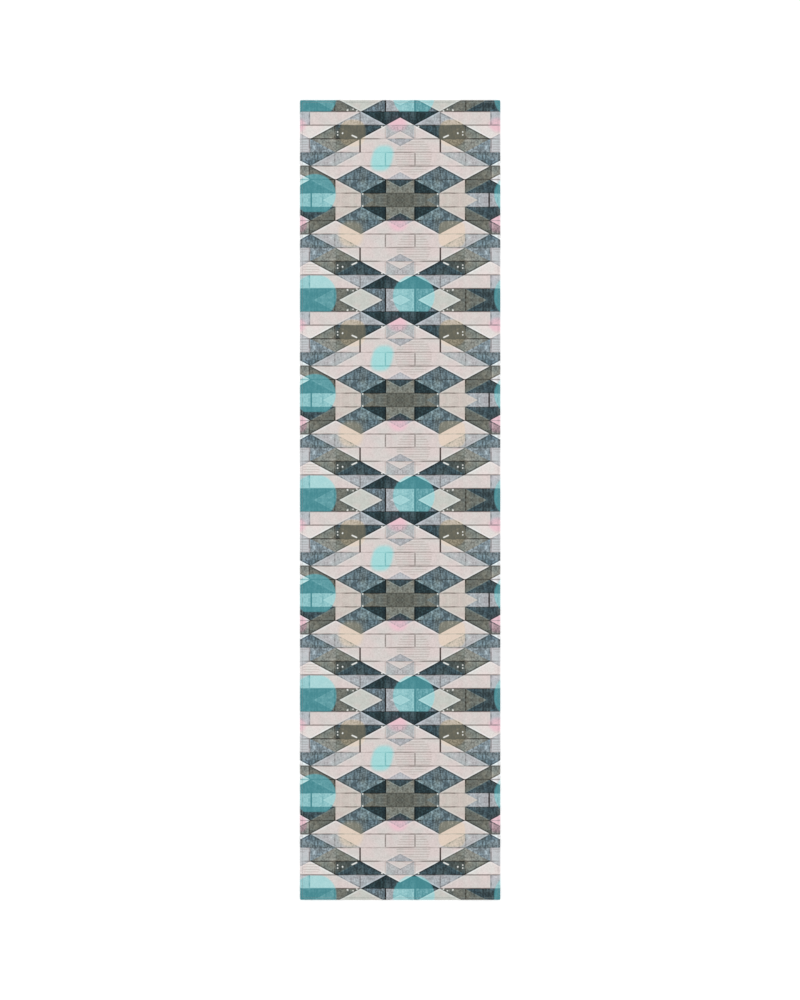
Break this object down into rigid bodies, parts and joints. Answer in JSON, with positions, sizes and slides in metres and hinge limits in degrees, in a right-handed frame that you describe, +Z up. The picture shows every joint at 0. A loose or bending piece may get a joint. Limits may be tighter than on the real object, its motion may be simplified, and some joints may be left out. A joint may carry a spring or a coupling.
{
  "type": "runner rug",
  "caption": "Long narrow low-pile rug with a printed face cloth turned under and stitched round a felt pad, with a flush grip backing.",
  "frame": {"origin": "centre of the rug's underside, on the floor", "axes": "+Z up out of the printed face, +Y along the rug's length, +X across its width"},
  "size_m": [0.61, 2.438, 0.009],
  "materials": {
    "printed_pile": "low-cut polyester pile, matte, printed in concrete greys, navy, pale pink and teal",
    "bonding_web": "open hot-melt web, satin",
    "grey_felt": "needle-punched felt, matte",
    "grip_backing": "coated canvas with low grip dots, matte",
    "sewing_thread": "twisted polyester thread, slight sheen",
    "mitre_thread": "twisted polyester thread, slight sheen"
  },
  "bodies": {
    "root": {"printed_face_cloth": "printed_pile", "upper_bonding_web": "bonding_web", "felt_pad": "grey_felt", "lower_bonding_web": "bonding_web", "grip_backing": "grip_backing", "needle_thread_left": "sewing_thread", "needle_thread_right": "sewing_thread", "needle_thread_far": "sewing_thread", "needle_thread_near": "sewing_thread", "bobbin_thread_left": "sewing_thread", "bobbin_thread_right": "sewing_thread", "bobbin_thread_far": "sewing_thread", "bobbin_thread_near": "sewing_thread", "mitre_thread_left_far": "mitre_thread", "mitre_thread_left_near": "mitre_thread", "mitre_thread_right_far": "mitre_thread", "mitre_thread_right_near": "mitre_thread"}
  },
  "joints": []
}
